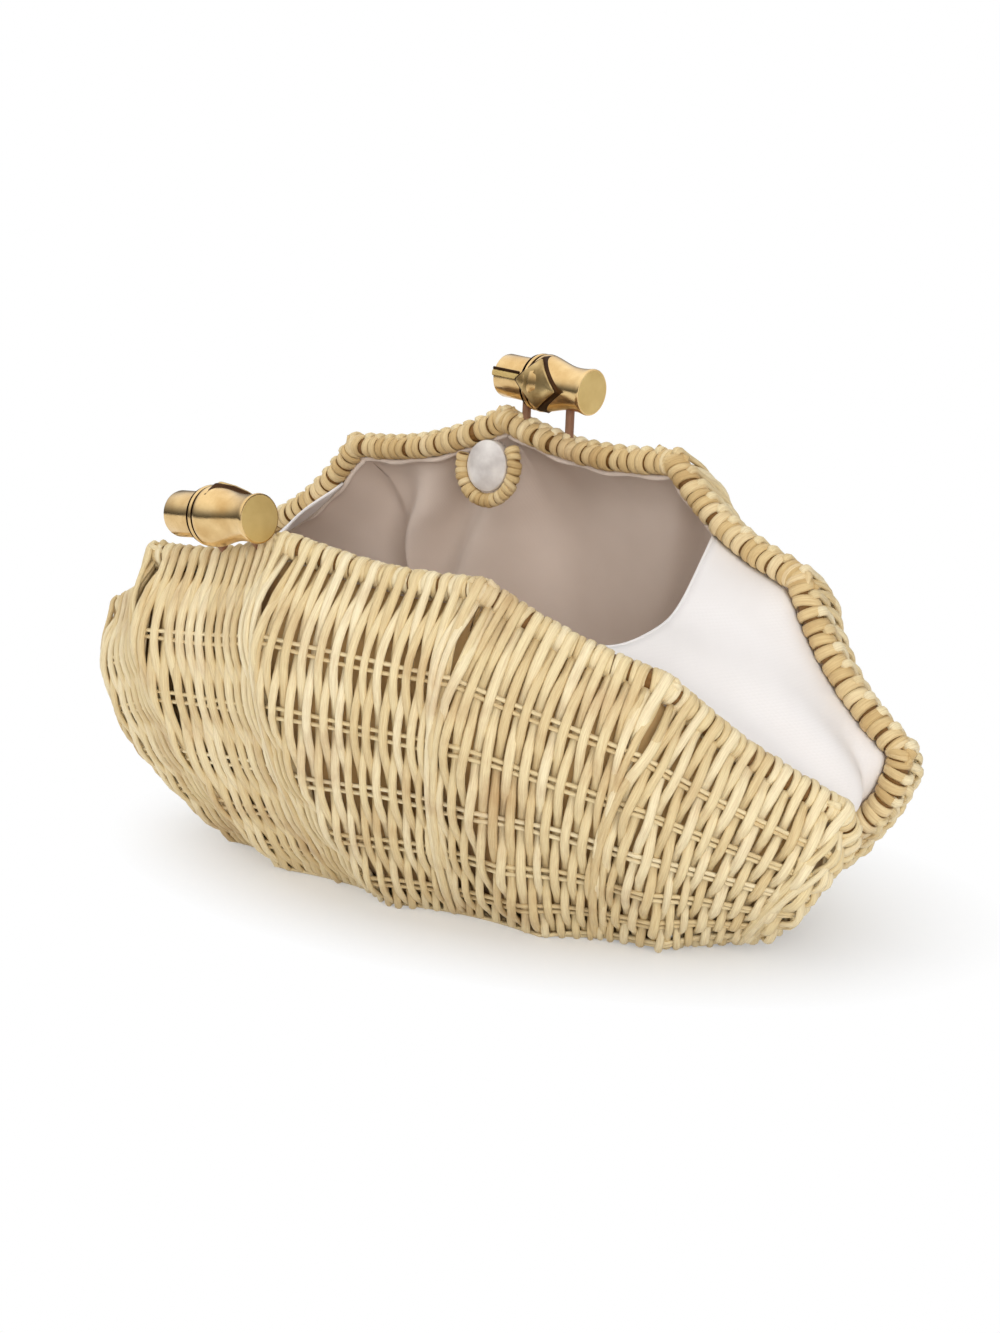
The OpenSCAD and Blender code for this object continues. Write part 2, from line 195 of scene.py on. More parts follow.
def shell_normal(u, s):
    du = shell_point(u + STEP, s) - shell_point(u - STEP, s)
    ds = shell_point(u, s + STEP) - shell_point(u, s - STEP)
    return unit(np.cross(ds, du))


def rim_share(u, gap):
    return np.arcsin(((RIM_R + gap) / depth(u)) ** (1 / FULL)) / math.pi


def rail_share(u, gap):
    reach = math.hypot(BELLY_SAG, BELLY_D) * swell(u)
    return 1 - np.arcsin(((RAIL_R + gap) / reach) ** (1 / FULL)) / math.pi


# Meshes gathered bit by bit
class Gather:
    def __init__(self):
        self.points, self.faces, self.uvs, self.slots = [], [], [], []
        self.count = 0

    def add(self, points, faces, uvs, slot):
        self.points.append(points.reshape(-1, 3))
        self.faces.extend((np.asarray(faces) + self.count).tolist())
        self.uvs.append(np.asarray(uvs, float).reshape(-1, 2))
        self.slots.extend([slot] * len(faces))
        self.count += len(self.points[-1])

    def rings(self, rings, length, closed=False, slot=0):
        """Tubes from an array of tube, ring, side and coordinate, and the length along each for the UVs."""
        m, n, k, _ = rings.shape
        last = n if closed else n - 1
        tube, ring, side = np.meshgrid(np.arange(m), np.arange(last), np.arange(k), indexing="ij")
        corners = ((ring, side), (ring, side + 1), (ring + 1, side + 1), (ring + 1, side))
        faces = np.stack([(tube * n + r % n) * k + q % k for r, q in corners], axis=-1).reshape(-1, 4)
        across = np.stack([q for _, q in corners], axis=-1) / k + tube[..., None] * UV_SHIFT
        if closed:
            length = np.concatenate([length, 2 * length[:, -1:] - length[:, -2:-1]], axis=1)
        low, high = length[tube, ring], length[tube, ring + 1]
        along = np.stack([low, low, high, high], axis=-1)
        self.add(rings, faces, np.stack([across, along], axis=-1), slot)
        if closed:
            return
        start = self.count - m * n * k
        for i in range(m):
            first = start + i * n * k
            self.faces.append([first + j for j in reversed(range(k))])
            self.faces.append([first + (n - 1) * k + j for j in range(k)])
            self.uvs.append(np.zeros((2 * k, 2)))
            self.slots.extend([slot, slot])

    def tubes(self, path, normal, wide, thick, sides=8, closed=False, slot=0):
        """Canes along paths, wide across the wall and thick along its normal."""
        if closed:
            tangent = unit(np.roll(path, -1, axis=1) - np.roll(path, 1, axis=1))
        else:
            tangent = unit(np.gradient(path, axis=1))
        across = unit(np.cross(tangent, normal))
        normal = np.cross(across, tangent)
        a = 2 * np.pi * np.arange(sides) / sides
        wide = np.broadcast_to(wide, path.shape[:2])[..., None, None]
        thick = np.broadcast_to(thick, path.shape[:2])[..., None, None]
        rings = path[:, :, None, :]
        rings = rings + wide * np.cos(a)[:, None] * across[:, :, None, :]
        rings = rings - thick * np.sin(a)[:, None] * normal[:, :, None, :]
        step = np.linalg.norm(np.diff(path, axis=1), axis=-1)
        length = np.concatenate([np.zeros((len(path), 1)), np.cumsum(step, axis=1)], axis=1)
        self.rings(rings, length / UV_SCALE, closed, slot)

    def cane(self, path, normal, wide, thick, **more):
        """One cane along one path."""
        self.tubes(path[None], np.broadcast_to(normal, path.shape)[None], wide, thick, **more)

    def sheet(self, top, bottom, slots=(0, 0), flip=False):
        """A thin closed sheet between two grids of points."""
        nu, nv, _ = top.shape
        i, j = np.meshgrid(np.arange(nu - 1), np.arange(nv - 1), indexing="ij")
        a = i * nv + j
        faces = np.stack([a, a + nv, a + nv + 1, a + 1], axis=-1).reshape(-1, 4)
        edge = np.concatenate([
            np.arange(nu) * nv, (nu - 1) * nv + np.arange(1, nv),
            np.arange(nu - 2, -1, -1) * nv + nv - 1, np.arange(nv - 2, -1, -1),
        ])
        n = nu * nv
        border = np.stack([edge[1:], edge[:-1], edge[:-1] + n, edge[1:] + n], axis=-1)
        under = faces[:, ::-1] + n
        if flip:
            faces, under, border = faces[:, ::-1], under[:, ::-1], border[:, ::-1]
        grid = np.stack(np.meshgrid(np.arange(nu), np.arange(nv), indexing="ij"), axis=-1).reshape(-1, 2)
        uv = np.concatenate([grid, grid]) / UV_SCALE
        points = np.concatenate([top.reshape(-1, 3), bottom.reshape(-1, 3)])
        start = self.count
        for more, slot in ((faces, slots[0]), (under, slots[1]), (border, slots[0])):
            self.count = start
            self.add(points, more, uv[more], slot)
            points = points[:0]
        self.count = start + 2 * n

    def piece(self, name, body, materials, slot):
        """The gathered mesh as a piece of the scene, with nothing below the floor."""
        mesh = bpy.data.meshes.new(name)
        points = above_floor(np.concatenate(self.points) * MM, 0)
        mesh.from_pydata(points.tolist(), [], self.faces)
        mesh.polygons.foreach_set("use_smooth", np.ones(len(self.faces), bool))
        mesh.polygons.foreach_set("material_index", np.array(self.slots, np.int32))
        layer = mesh.uv_layers.new(name="UVMap")
        layer.data.foreach_set("uv", np.concatenate(self.uvs).ravel().astype(np.float32))
        for material in materials:
            mesh.materials.append(material)
        mesh.update()
        piece = bpy.data.objects.new(name, mesh)
        bpy.context.scene.collection.objects.link(piece)
        if body:
            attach(piece, body)
        return piece


# Materials
MIX_FAC, MIX_A, MIX_B, MIX_COLOUR = 0, 6, 7, 2
NOISE_DETAIL, NOISE_ROUGH = 3.0, 0.55
TONE_STOPS = (0.0, 0.35, 0.7, 1.0)
FIBRE_STRETCH, FIBRE_SCALE, SPOT_SCALE, SPOT_DETAIL = (9, 0.5, 1), 3.0, 55.0, 4.0
THREAD_SCALE, COTTON_SCALE = 420.0, 24.0
PATINA_SCALE, PATINA_DETAIL, CAST_SCALE = 140.0, 5.0, 900.0
PEARL_SCALE = 190.0


def colour(*screen):
    """A colour from 8-bit screen values."""
    linear = [c / 255 / 12.92 if c <= 10 else ((c / 255 + 0.055) / 1.055) ** 2.4 for c in screen]
    return (*linear, 1)


class Nodes:
    """Short calls for the nodes of a tree."""

    def __init__(self, tree):
        self.tree = tree

    def node(self, kind, inputs=None, **values):
        node = self.tree.nodes.new("ShaderNode" + kind)
        for key, value in values.items():
            setattr(node, key, value)
        for key, value in (inputs or {}).items():
            self.link(value, node.inputs[key])
        return node

    def link(self, value, socket):
        if isinstance(value, bpy.types.NodeSocket):
            self.tree.links.new(value, socket)
        else:
            socket.default_value = value

    def noise(self, vector, scale, detail=NOISE_DETAIL):
        inputs = {"Vector": vector, "Scale": scale, "Detail": detail, "Roughness": NOISE_ROUGH}
        return self.node("TexNoise", inputs).outputs["Fac"]

    def mapped(self, vector, scale, shift=(0, 0, 0)):
        inputs = {"Vector": vector, "Scale": scale, "Location": shift}
        return self.node("Mapping", inputs).outputs["Vector"]

    def ramp(self, fac, stops):
        node = self.node("ValToRGB", {"Fac": fac})
        while len(node.color_ramp.elements) < len(stops):
            node.color_ramp.elements.new(0.5)
        for element, (at, tone) in zip(node.color_ramp.elements, stops):
            element.position = at
            element.color = tone
        return node.outputs["Color"]

    def span(self, fac, low, high, at=(0.3, 0.7)):
        inputs = {"Value": fac, "From Min": at[0], "From Max": at[1], "To Min": low, "To Max": high}
        return self.node("MapRange", inputs).outputs["Result"]

    def combine(self, operation, a, b):
        return self.node("Math", {0: a, 1: b}, operation=operation).outputs["Value"]

    def blend(self, fac, a, b, mode="MIX"):
        inputs = {MIX_FAC: fac, MIX_A: a, MIX_B: b}
        return self.node("Mix", inputs, data_type="RGBA", blend_type=mode).outputs[MIX_COLOUR]


class Look(Nodes):
    """A material with a Principled shader."""

    def __init__(self, name, **sockets):
        self.material = bpy.data.materials.new(name)
        self.material.use_nodes = True
        super().__init__(self.material.node_tree)
        self.shader = self.tree.nodes["Principled BSDF"]
        for key, value in sockets.items():
            self.set(key.replace("_", " "), value)

    def set(self, name, value):
        self.link(value, self.shader.inputs[name])

    def bump(self, height, strength, distance):
        inputs = {"Height": height, "Strength": strength, "Distance": distance}
        self.set("Normal", self.node("Bump", inputs).outputs["Normal"])

    def clouded(self, light, dark, scale, detail=NOISE_DETAIL):
        """Two tones that mix in clouds. Gives the coordinates and the clouds."""
        coords = self.node("TexCoord").outputs["Object"]
        cloud = self.noise(coords, scale, detail)
        self.set("Base Color", self.blend(self.span(cloud, 0.0, 1.0), light, dark))
        return coords, cloud


def rattan(name, tones, stain):
    """Cane: a tone of its own for each strand, fibres along it, and browner spots."""
    look = Look(name, Specular_IOR_Level=0.35)
    island = look.node("NewGeometry").outputs["Random Per Island"]
    coords = look.node("TexCoord").outputs
    fibre = look.noise(look.mapped(coords["UV"], FIBRE_STRETCH), FIBRE_SCALE)
    spots = look.noise(coords["Object"], SPOT_SCALE, SPOT_DETAIL)
    tone = look.ramp(island, list(zip(TONE_STOPS, tones)))
    tone = look.blend(look.span(fibre, 0.0, 0.38, (0.35, 0.75)), tone, stain, "MULTIPLY")
    tone = look.blend(look.span(spots, 0.0, 0.45, (0.52, 0.8)), tone, stain, "MULTIPLY")
    look.set("Base Color", tone)
    look.set("Roughness", look.span(fibre, 0.42, 0.6))
    look.bump(fibre, 0.35, 0.0004)
    return look.material


def cotton(name, light, dark):
    """Plain-woven cotton, with its threads as a fine relief and faint clouds of shade."""
    look = Look(name, Roughness=0.92, Sheen_Weight=0.15, Specular_IOR_Level=0.2)
    coords, _ = look.clouded(light, dark, COTTON_SCALE)
    inputs = {"Vector": coords, "Scale": THREAD_SCALE, "Distortion": 0.6}
    waves = [look.node("TexWave", inputs, bands_direction=way).outputs["Fac"] for way in ("X", "Z")]
    look.bump(look.combine("MAXIMUM", *waves), 0.1, 0.0002)
    return look.material


def metal(name, light, dark, rough, metallic=1.0):
    """Cast metal, with a patina that gathers in clouds."""
    look = Look(name, Metallic=metallic)
    coords, cloud = look.clouded(light, dark, PATINA_SCALE, PATINA_DETAIL)
    look.set("Roughness", look.span(cloud, *rough))
    look.bump(look.noise(coords, CAST_SCALE), 0.06, 0.0002)
    return look.material


def pearly(name, light, dark):
    """Glossy plastic, clouded like pearl; the grey of the darker clouds is partly a painted reflection."""
    look = Look(name, Roughness=0.18, Coat_Weight=0.6, Coat_Roughness=0.06)
    look.clouded(light, dark, PEARL_SCALE)
    return look.material


STRAW = [colour(224, 202, 154), colour(234, 216, 170), colour(240, 224, 182), colour(244, 231, 194)]
GOLDEN = [colour(206, 176, 122), colour(220, 193, 140), colour(228, 204, 154), colour(236, 215, 170)]
STAIN = colour(176, 126, 62)
WEAVE = rattan("straw_rattan", STRAW, STAIN)
RIM = {FRONT: rattan("straw_rim", STRAW, STAIN), BACK: rattan("golden_rim", GOLDEN, STAIN)}
# The core's dark brown shows in the gaps between the wraps and stands for the shade there: painted shade.
PAINTED_SHADE_CORE = rattan("brown_core_painted_shade", [colour(132, 94, 48)] * len(TONE_STOPS), colour(104, 70, 36))
RAIL = rattan("cane_rail", [colour(206, 174, 118)] * len(TONE_STOPS), STAIN)
# The lining is the gusset's white cotton made darker and warmer: painted shade and painted warm bounce
# light inside the bag.
PAINTED_SHADE_LINING = cotton("lining_cotton_painted_shade", colour(226, 210, 197), colour(215, 198, 184))
# Brown for the lining's outer face, which shows only through the weave's gaps: painted shade there, not the
# cotton's own colour.
PAINTED_SHADE_BACKING = cotton("lining_back_painted_shade", colour(222, 186, 130), colour(196, 158, 104))
GUSSET = cotton("gusset_cotton", colour(242, 238, 236), colour(233, 228, 225))
BRASS = metal("antique_brass", colour(236, 205, 150), colour(206, 168, 110), (0.15, 0.26))
CAP = metal("matte_brass", colour(220, 192, 126), colour(206, 176, 110), (0.42, 0.55), 0.5)
PATINA = metal("patina_brass", colour(222, 194, 138), colour(140, 110, 64), (0.25, 0.42))
DARK = metal("dark_recess", colour(84, 58, 36), colour(56, 36, 22), (0.4, 0.55))
POST = metal("dark_brass", colour(164, 122, 94), colour(128, 90, 68), (0.3, 0.45), 0.4)
# The pearl's darker tone is greyed partly for the dark reflections on it: painted reflection, mixed with
# the pearl's own clouding.
PEARL_WITH_PAINTED_REFLECTION = pearly("pearl", colour(232, 226, 220), colour(200, 192, 187))

# Weave: strands from rim to rail that pass over and under pairs of thin stakes
STRANDS_PER_LOBE = (26, 20, 20)
CURL_STRANDS, CURL_STEP = 7, 0.07
CORNERS = np.arange(-LOBES, LOBES + 1)
STAKE_ROWS = np.array([0.145, 0.255, 0.355, 0.445, 0.53, 0.61, 0.69, 0.77, 0.85, 0.925])
STAKE_APART, STAKE_SHAKE, STAKE_END = 0.007, 0.0016, WEAVE_END - 0.02
WEAVE_MIDDLE, WEAVE_BOW, STAKE_OUT = 0.9, 1.4, 1.15
STRAND_THICK, STAKE_R = 0.86, 0.62
RIM_SINK, RAIL_SINK = -1.5, -0.6
STRAND_POINTS, STAKE_POINTS, CROWDING, EASED = 50, 200, 0.35, 6
WAVES, SWAY, LOOSE = 6, 0.006, 0.15

# How the strands draw together on the ribs, less so at the left, and how wide the V beside a corner is
PULL, PULL_LEFT, PULL_REACH, PULL_AT = 0.32, 0.12, 0.2, 0.24
CORNER_V, V_REACH = {FRONT: 0.055, BACK: 0.02}, 0.13

# How the strands slant to the left on their way down
SLANT = {FRONT: 0.75, BACK: 0.0}
SLANT_MORE, SLANT_RUN, SLANT_END = 0.6, 3.5, WEAVE_END + 0.02

# Where the weave grows closer and flatter at the left, and the strands' width outside and inside that part
CLOSE_AT, CLOSE_RUN, CLOSE_FLAT = 0.1, 0.4, 0.3
WIDE_SHARE, WIDE_LEAST, WIDE_MOST, WIDE_VARY = (0.54, 0.7), 0.8, (1.34, 1.85), 0.05

# Strands that go on over the rim, between two angles in degrees, and how deep their ends are tucked in
OVER_FROM, OVER_TO, OVER_POINTS, OVER_SKIP = -30, 42, 6, 2
OVER_LIFT, TUCK = 0.1, 1.2

# Bundles on the ribs: where their strands start and end beside a corner, and how high they lie
RIB_RISE, RIB_SHARP, RIB_POINTS = 0.9, 24, 32
RIB_STARTS, RIB_ENDS = np.array([-0.075, 0.01, 0.085]), np.array([0.03, -0.035, -0.02])
RIB_LAYERS, RIB_LOW = (1.5, 1.9, 2.2), 0.2
RIB_WIDE, RIB_THICK = 1.1, 0.75


def strand_us(curl_strands, per_lobe):
    """Places of strands or wraps along the rim, from end to end."""
    lobes = [i + np.arange(1, n + 1) / n for i, n in enumerate(per_lobe)]
    curl = LOBES + CURL_STEP * np.arange(1, curl_strands + 1)
    half = np.concatenate(lobes + [curl])
    return np.concatenate([-half[::-1], [0], half])


def bunched(u, f, side):
    """Strands draw together on the ribs below the rim corners, and leave a narrow V beside each corner."""
    corner = np.clip(np.round(u), -LOBES, LOBES)
    apart = u - corner
    below = smooth(f / PULL_AT)
    tight = mix(PULL, PULL_LEFT, smooth((-u - 0.85) / 0.4))
    pull = tight * np.exp(-(apart / PULL_REACH) ** 2) * below * (1 - 0.6 * smooth((f - 0.5) / 0.4))
    spread = CORNER_V[side] * np.exp(-(apart / V_REACH) ** 2) * (1 - below) * (apart > 0.01)
    return corner + apart * (1 - pull) + spread


def slanted(u, f, side):
    """Strands of the front half slant to the left on their way down, most of all right of the middle."""
    more = 1 + SLANT_MORE * smooth((u + 1) / SLANT_RUN)
    return u - SLANT[side] * more * smooth(f) * (1 - (u / SLANT_END) ** 2)


def eased(rows, times=EASED):
    """Strands bend softly, as where they cross the creases of the wall."""
    return softened(rows.swapaxes(0, 1), times).swapaxes(0, 1)


def weave(side):
    us = strand_us(CURL_STRANDS, STRANDS_PER_LOBE)
    count = len(us)
    f = np.linspace(0, 1, STRAND_POINTS)
    f = mix(f, (1 - np.cos(np.pi * f)) / 2, CROWDING)[None, :]
    wobble = rng.normal(0, 1, (count, WAVES))
    lean = sum(wobble[:, i:i + 1] * np.sin(np.pi * (i + 1) * f + i) / (i + 1) for i in range(WAVES))
    u = np.repeat(us[:, None], STRAND_POINTS, axis=1)
    u = bunched(u, f, side) + SWAY * lean * smooth(f / 0.1) * (1 - smooth((f - 0.9) / 0.1))
    u = slanted(np.clip(u, -WEAVE_END, WEAVE_END), f, side)
    s = mix(rim_share(u, RIM_SINK), rail_share(u, RAIL_SINK), f)
    row = np.interp(s, STAKE_ROWS, np.arange(len(STAKE_ROWS)))
    row = row - np.maximum(0, STAKE_ROWS[0] - s) / STAKE_ROWS[0]
    parity = np.where(np.arange(count) % 2 == 0, 1, -1)
    close = smooth((-u - CLOSE_AT) / CLOSE_RUN)
    bow = parity[:, None] * np.cos(np.pi * row) * smooth(f / 0.04) * smooth((1 - f) / 0.06)
    bow = bow * WEAVE_BOW * (1 - CLOSE_FLAT * close)
    rib = np.abs(np.cos(np.pi * u)) ** RIB_SHARP * (np.abs(u) < LOBES + 0.3)
    loose = LOOSE * wobble[:, 3:4] * np.sin(np.pi * f)
    offset = WEAVE_MIDDLE * smooth(f / 0.05) + bow + RIB_RISE * rib * smooth(f / 0.1) + loose
    normal = unit(eased(shell_normal(u, s)))
    path = eased(shell_point(u, s)) + normal * offset[..., None]
    pitch = np.linalg.norm(np.gradient(path, axis=0), axis=-1)
    wide = np.clip(mix(*WIDE_SHARE, close) * pitch, WIDE_LEAST, mix(*WIDE_MOST, close))
    wide = wide * (1 + WIDE_VARY * wobble[:, 4:5])
    mesh = Gather()
    under, over = parity > 0, parity < 0
    strands(mesh, side, path[under], normal[under], wide[under])
    strands(mesh, side, *over_rim(u[over], path[over], normal[over], wide[over]))
    stakes(mesh, side)
    ribs(mesh, side)
    piece = mesh.piece(NAME[side] + "_weave", BODY[side], [WEAVE], "rattan_weave")
    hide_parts(NAME[side] + "_shell")


def strands(mesh, side, path, normal, wide):
    mesh.tubes(above_floor(place(path, side), STRAND_THICK), turn(normal, side), wide, STRAND_THICK)


def over_rim(u, path, normal, wide):
    """Strands that come up outside the wall go on over the top of the rim."""
    middle, _, up, out = (v[:, None, :] for v in rim_frame(u[:, 0]))
    a = np.radians(np.linspace(OVER_FROM, OVER_TO, OVER_POINTS))[None, :, None]
    radial = np.cos(a) * up + np.sin(a) * out
    lift = RIM_SEEN_R + OVER_LIFT - TUCK * (a < np.radians(OVER_FROM + 1))
    start = middle - RIM_DROP * up + lift * radial
    path = np.concatenate([start, path[:, OVER_SKIP:]], axis=1)
    joint = slice(OVER_POINTS - 3, OVER_POINTS + 4)
    path[:, joint] = eased(path[:, joint], 2)
    normal = np.concatenate([radial, normal[:, OVER_SKIP:]], axis=1)
    return path, normal, np.concatenate([wide[:, :OVER_POINTS], wide[:, OVER_SKIP:]], axis=1)


def ribs(mesh, side):
    """Strands that cross over on the ribs, in long thin bundles."""
    f = np.linspace(0, 1, RIB_POINTS)[None, :]
    starts, ends = ((CORNERS[:, None] + beside).ravel() for beside in (RIB_STARTS, RIB_ENDS))
    starts = starts + rng.normal(0, 0.01, len(starts))
    last = rng.uniform(0.55, 0.8, (len(starts), 1))
    u = slanted(mix(starts[:, None], ends[:, None], smooth(f / 0.7)), f * last, side)
    s = mix(rim_share(u, RIM_SINK), last, f)
    lift = smooth(f / 0.12) * smooth((1 - f) / 0.12)
    layer = np.tile(RIB_LAYERS, len(CORNERS))[:, None]
    normal = unit(eased(shell_normal(u, s)))
    path = place(eased(shell_point(u, s)) + normal * (RIB_LOW + layer * lift)[..., None], side)
    mesh.tubes(above_floor(path, STRAND_THICK), turn(normal, side), RIB_WIDE, RIB_THICK, sides=7)


def stakes(mesh, side):
    u = np.linspace(-STAKE_END, STAKE_END, STAKE_POINTS)
    for at in STAKE_ROWS:
        for way in (-1, 1):
            shake = STAKE_SHAKE * np.sin(u * (5 + 3 * rng.random()) + 6 * rng.random())
            s = np.clip(at + way * STAKE_APART + shake, rim_share(u, 0), rail_share(u, 0))
            normal = shell_normal(u, s)
            path = above_floor(place(shell_point(u, s) + normal * STAKE_OUT, side), STAKE_R)
            mesh.cane(path, turn(normal, side), STAKE_R, STAKE_R, sides=6)


# Rims: a core with cane wound round it
WRAP_THICK = 0.55
WRAPS_PER_LOBE = {FRONT: STRANDS_PER_LOBE, BACK: (20, 16, 15)}
CURL_WRAPS, CORNER_WRAPS = 13, (-0.03, -0.012, 0.012, 0.03)
WRAP_SHARE, WRAP_LEAST, WRAP_MOST = 0.455, 1.0, 1.7
RIM_END, CORE_SINK, CORE_POINTS = 3.995, 0.75, 190
END_CANE_U, END_CANE_R, END_CANE_OUT, END_CANE_POINTS = 3.4, 1.7, 4.2, 24
STUB_WIDE, STUB_THICK, STUB_SINK, STUB_POINTS = 1.1, 0.8, 1.2, 4


def ring_path(middle, along, up, out, radius, slant, turns=20):
    """Closed rings round points, with each ring slanted along."""
    a = 2 * np.pi * np.arange(turns) / turns
    radial = np.cos(a)[:, None] * up[:, None, :] + np.sin(a)[:, None] * out[:, None, :]
    shift = (slant[:, None] * np.sin(a + 0.6))[..., None] * along[:, None, :]
    return middle[:, None, :] + radius[:, None, None] * radial + shift, radial


def rim(side):
    us = strand_us(CURL_WRAPS, WRAPS_PER_LOBE[side])
    us = us + rng.normal(0, 0.004, len(us))
    us = np.sort(np.concatenate([us] + [CORNERS + shift for shift in CORNER_WRAPS]))
    middle, along, up, out = rim_frame(us)
    middle = middle - RIM_DROP * up
    radius = RIM_SEEN_R - WRAP_THICK + rng.normal(0, 0.13, len(us))
    path, radial = ring_path(middle, along, up, out, radius, rng.normal(0.5, 0.4, len(us)))
    gap = np.linalg.norm(np.gradient(middle, axis=0), axis=-1)
    wide = np.clip(WRAP_SHARE * gap, WRAP_LEAST, WRAP_MOST) * rng.uniform(0.9, 1.1, len(us))
    mesh = Gather()
    mesh.tubes(place(path, side), turn(radial, side), wide[:, None], WRAP_THICK, sides=7, closed=True)
    middle, _, up, out = rim_frame(np.linspace(-RIM_END, RIM_END, CORE_POINTS))
    core_r = RIM_SEEN_R - CORE_SINK
    # The core, seen between the wraps, is darkened as painted shade.
    mesh.cane(place(middle - RIM_DROP * up, side), turn(out, side), core_r, core_r, slot=1)
    for way in (-1, 1):
        middle, _, _, out = rim_frame(way * np.linspace(END_CANE_U, RIM_END, END_CANE_POINTS))
        mesh.cane(place(middle + out * END_CANE_OUT, side), turn(out, side), END_CANE_R, END_CANE_R)
    stubs(mesh, side)
    piece = mesh.piece(NAME[side] + "_wound_rim", BODY[side], [RIM[side], PAINTED_SHADE_CORE], "rattan_rim")
    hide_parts(NAME[side] + "_rim")


def stubs(mesh, side):
    """Short cut ends of cane that stand out at the rim corners."""
    for corner in CORNERS:
        for way in (-1, 1):
            u = corner + rng.uniform(-0.06, 0.06)
            middle, along, up, out = (v[0] for v in rim_frame(np.array([u])))
            swing = rng.uniform(-0.7, 0.5)
            base = middle + (up * math.cos(swing) + out * math.sin(swing)) * (RIM_SEEN_R - STUB_SINK)
            tip = unit(along * way * 0.8 + up * 0.5)
            path = base + tip * np.linspace(-1.5, rng.uniform(2.0, 3.2), STUB_POINTS)[:, None]
            mesh.cane(place(path, side), turn(out, side), STUB_WIDE, STUB_THICK)


# Magnets in their wound rings
LATHE_SIDES, AXIS_R = 64, 0.02
MAGNET_LIP, MAGNET_ROUND, MAGNET_BEVEL = 0.35, 0.12, 0.4
DOME_FROM, DOME_POINTS = 0.004, 12
RING_WRAPS, RING_WRAP_WIDE, RING_CORE_R, RING_POINTS = 21, 1.15, 1.7, 48


def lathe(mesh, origin, axis, up, out, profile):
    """A turned solid from pairs of place along the axis and radius."""
    a = 2 * np.pi * np.arange(LATHE_SIDES) / LATHE_SIDES
    radial = np.cos(a)[:, None] * up + np.sin(a)[:, None] * out
    rings = np.array([origin + axis * at + radial * r for at, r in profile])[None]
    mesh.rings(rings, np.array([[at for at, _ in profile]]) / UV_SCALE)


def rim_height(x):
    """Height of the rim's middle line over a place on the middle lobes."""
    return float(rim_point(x / CORNER_X[1])[1])


def magnet(side):
    t = rim_height(MAGNET_X) - RIM_R - SEAT - MAGNET_R
    x_dir, t_dir, d_dir = np.eye(3)
    dome_r = (MAGNET_R ** 2 + MAGNET_DOME ** 2) / (2 * MAGNET_DOME)
    angles = np.linspace(DOME_FROM, math.asin((MAGNET_R - MAGNET_LIP) / dome_r), DOME_POINTS)
    profile = [(MAGNET_GAP + dome_r * (1 - math.cos(a)), dome_r * math.sin(a)) for a in angles]
    edge, rear = profile[-1][0], MAGNET_GAP + MAGNET_T
    profile += [(edge + MAGNET_ROUND, MAGNET_R - MAGNET_ROUND), (edge + MAGNET_BEVEL, MAGNET_R)]
    profile += [(rear - MAGNET_BEVEL, MAGNET_R), (rear, MAGNET_R - MAGNET_BEVEL), (rear, AXIS_R)]
    mesh = Gather()
    origin = place(np.array([MAGNET_X, t, 0.0]), side)
    turned = [turn(v, side) for v in (d_dir, x_dir, t_dir)]
    lathe(mesh, origin, *turned, profile)
    piece = mesh.piece(NAME[side] + "_pearl", BODY[side], [PEARL_WITH_PAINTED_REFLECTION], "pearl")
    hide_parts(NAME[side] + "_magnet")
    magnet_ring(side, np.array([MAGNET_X, t, RING_CANE_R + RING_CLEAR]))


def magnet_ring(side, centre):
    """The ring is open at the top, where its ends stop against the rim's slope."""
    left, right = (rim_height(MAGNET_X + way * RING_R) for way in (-1, 1))
    fall = rim_height(MAGNET_X) - (left + right) / 2
    tilt = math.atan2(right - left, 2 * RING_R)
    opening = math.acos((MAGNET_R - fall) / RING_R)

    def around(f):
        a = mix(opening, 2 * math.pi - opening, f) - tilt
        up = np.stack([np.sin(a), np.cos(a), 0 * a], axis=-1)
        along = np.stack([np.cos(a), -np.sin(a), 0 * a], axis=-1)
        return centre + up * (RING_R - RING_CANE_R), along, up

    shares = (np.arange(RING_WRAPS) + 0.5 + rng.normal(0, 0.08, RING_WRAPS)) / RING_WRAPS
    middle, along, up = around(shares)
    out = np.tile([0.0, 0.0, 1.0], (RING_WRAPS, 1))
    radius = RING_CANE_R - WRAP_THICK + rng.normal(0, 0.06, RING_WRAPS)
    path, radial = ring_path(middle, along, up, out, radius, rng.normal(0.3, 0.25, RING_WRAPS), turns=16)
    mesh = Gather()
    mesh.tubes(place(path, side), turn(radial, side), RING_WRAP_WIDE, WRAP_THICK, sides=6, closed=True)
    core, _, core_up = around(np.linspace(0, 1, RING_POINTS))
    # The ring's core, seen between its wraps, is darkened as painted shade.
    mesh.cane(place(core, side), turn(core_up, side), RING_CORE_R, RING_CORE_R, slot=1)
    piece = mesh.piece(NAME[side] + "_wound_ring", BODY[side], [RIM[BACK], PAINTED_SHADE_CORE], "rattan_rim")
    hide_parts(NAME[side] + "_magnet_ring")


